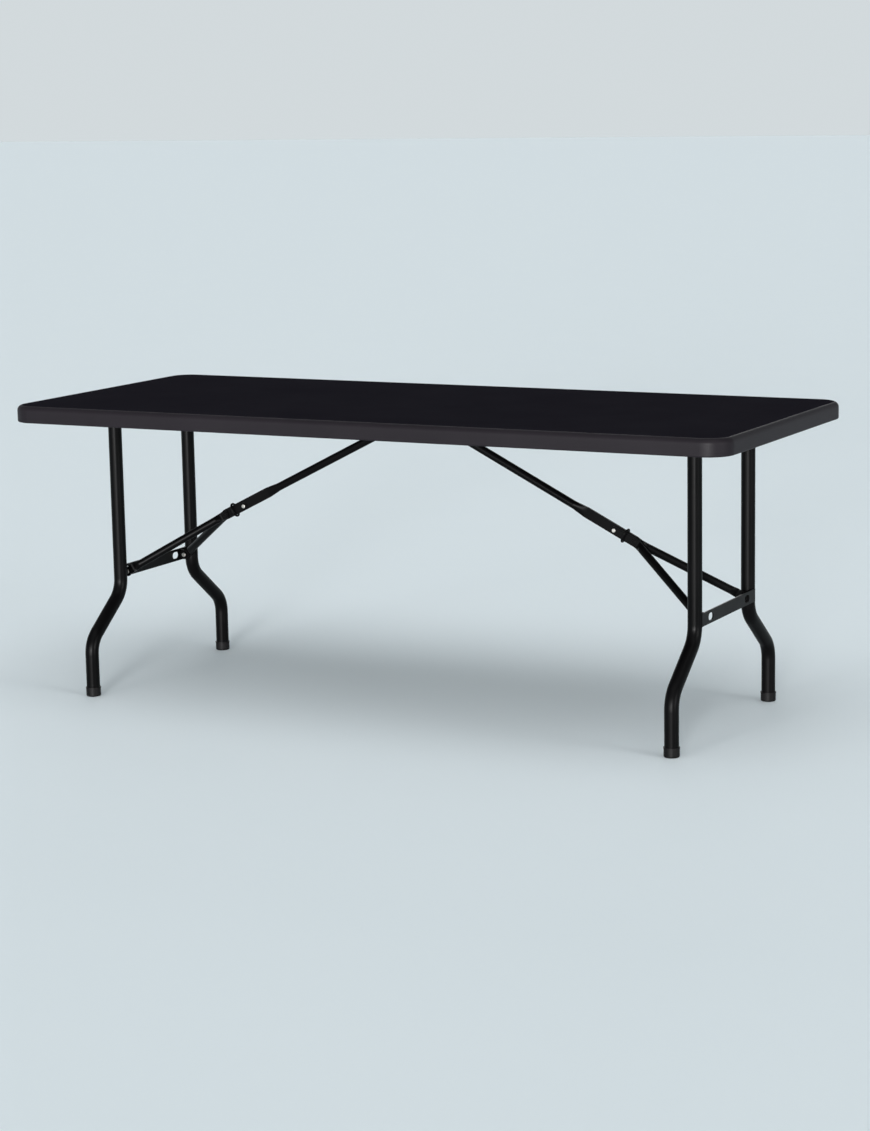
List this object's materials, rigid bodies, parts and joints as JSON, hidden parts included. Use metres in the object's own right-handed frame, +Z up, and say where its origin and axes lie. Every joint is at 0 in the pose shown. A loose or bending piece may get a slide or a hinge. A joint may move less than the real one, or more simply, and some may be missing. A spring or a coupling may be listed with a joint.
{
  "type": "folding table",
  "caption": "Rectangular folding table with a moulded plastic top and steel tube legs that fold flat under it on hinged braces with lock rings.",
  "frame": {"origin": "on the floor, under the middle of the top", "axes": "+X along the table, +Y across it to the rear, +Z up"},
  "size_m": [1.83, 0.76, 0.712],
  "materials": {
    "top_plastic": "fine pebbled polyethylene, low sheen",
    "frame_paint": "black powder coat, glossy",
    "cap_plastic": "smooth black plastic",
    "bush_plastic": "smooth black nylon",
    "rivet_steel": "bright plated steel, domed heads",
    "zinc_steel": "zinc-plated steel",
    "ring_steel": "black painted wire"
  },
  "bodies": {
    "tabletop": {"tabletop_shell": "top_plastic", "tabletop_underside": "top_plastic", "front_rail": "frame_paint", "rear_rail": "frame_paint", "centre_rail": "frame_paint", "frame_screws": "zinc_steel", "brace_bracket": "frame_paint", "brace_pivot_pins": "rivet_steel", "pivot_bushes": "bush_plastic"},
    "right_leg": {"right_cross_tube": "frame_paint", "right_front_leg": "frame_paint", "right_rear_leg": "frame_paint", "right_front_foot_cap": "cap_plastic", "right_rear_foot_cap": "cap_plastic", "right_crossbar": "frame_paint", "right_fork_ears": "frame_paint", "right_fork_rivets": "rivet_steel", "right_pivot_retainers": "zinc_steel"},
    "right_fork": {"right_front_fork_arm": "frame_paint", "right_rear_fork_arm": "frame_paint", "right_hinge_rivets": "frame_paint"},
    "right_brace": {"right_upper_brace": "frame_paint", "right_hinge_straps": "frame_paint", "right_strap_rivet": "rivet_steel"},
    "right_ring": {"right_lock_ring": "ring_steel"},
    "left_leg": {"left_cross_tube": "frame_paint", "left_front_leg": "frame_paint", "left_rear_leg": "frame_paint", "left_front_foot_cap": "cap_plastic", "left_rear_foot_cap": "cap_plastic", "left_crossbar": "frame_paint", "left_fork_ears": "frame_paint", "left_fork_rivets": "rivet_steel", "left_pivot_retainers": "zinc_steel"},
    "left_fork": {"left_front_fork_arm": "frame_paint", "left_rear_fork_arm": "frame_paint", "left_hinge_rivets": "frame_paint"},
    "left_brace": {"left_upper_brace": "frame_paint", "left_hinge_straps": "frame_paint", "left_strap_rivet": "rivet_steel"},
    "left_ring": {"left_lock_ring": "ring_steel"}
  },
  "joints": [
    {"name": "right_leg_fold", "type": "hinge", "parent": "tabletop", "child": "right_leg", "pos_m": [0.759, 0, 0.6785], "axis": [0, 1, 0], "range_deg": [0, 90]},
    {"name": "right_fork_swing", "type": "hinge", "parent": "right_leg", "child": "right_fork", "pos_m": [0.759, 0, 0.279], "axis": [0, 1, 0], "range_deg": [0, 58.2]},
    {"name": "right_brace_swing", "type": "hinge", "parent": "tabletop", "child": "right_brace", "pos_m": [0.02, 0, 0.6785], "axis": [0, -1, 0], "range_deg": [0, 26.6]},
    {"name": "right_ring_slide", "type": "slide", "parent": "right_brace", "child": "right_ring", "axis": [-0.8944, 0, 0.4473], "range_m": [0, 0.3155]},
    {"name": "left_leg_fold", "type": "hinge", "parent": "tabletop", "child": "left_leg", "pos_m": [-0.759, 0, 0.6785], "axis": [0, -1, 0], "range_deg": [0, 90]},
    {"name": "left_fork_swing", "type": "hinge", "parent": "left_leg", "child": "left_fork", "pos_m": [-0.759, 0, 0.279], "axis": [0, -1, 0], "range_deg": [0, 58.2]},
    {"name": "left_brace_swing", "type": "hinge", "parent": "tabletop", "child": "left_brace", "pos_m": [-0.02, 0, 0.6785], "axis": [0, 1, 0], "range_deg": [0, 26.6]},
    {"name": "left_ring_slide", "type": "slide", "parent": "left_brace", "child": "left_ring", "axis": [0.8944, 0, 0.4473], "range_m": [0, 0.3155]}
  ],
  "couplings": [
    {"joint": "right_fork_swing", "follows": "right_leg_fold", "ratio": 0.63672},
    {"joint": "right_brace_swing", "follows": "right_leg_fold", "ratio": 0.29522},
    {"joint": "right_ring_slide", "follows": "right_leg_fold", "m_per_rad": 0.20053},
    {"joint": "left_fork_swing", "follows": "left_leg_fold", "ratio": 0.63672},
    {"joint": "left_brace_swing", "follows": "left_leg_fold", "ratio": 0.29522},
    {"joint": "left_ring_slide", "follows": "left_leg_fold", "m_per_rad": 0.20053}
  ]
}
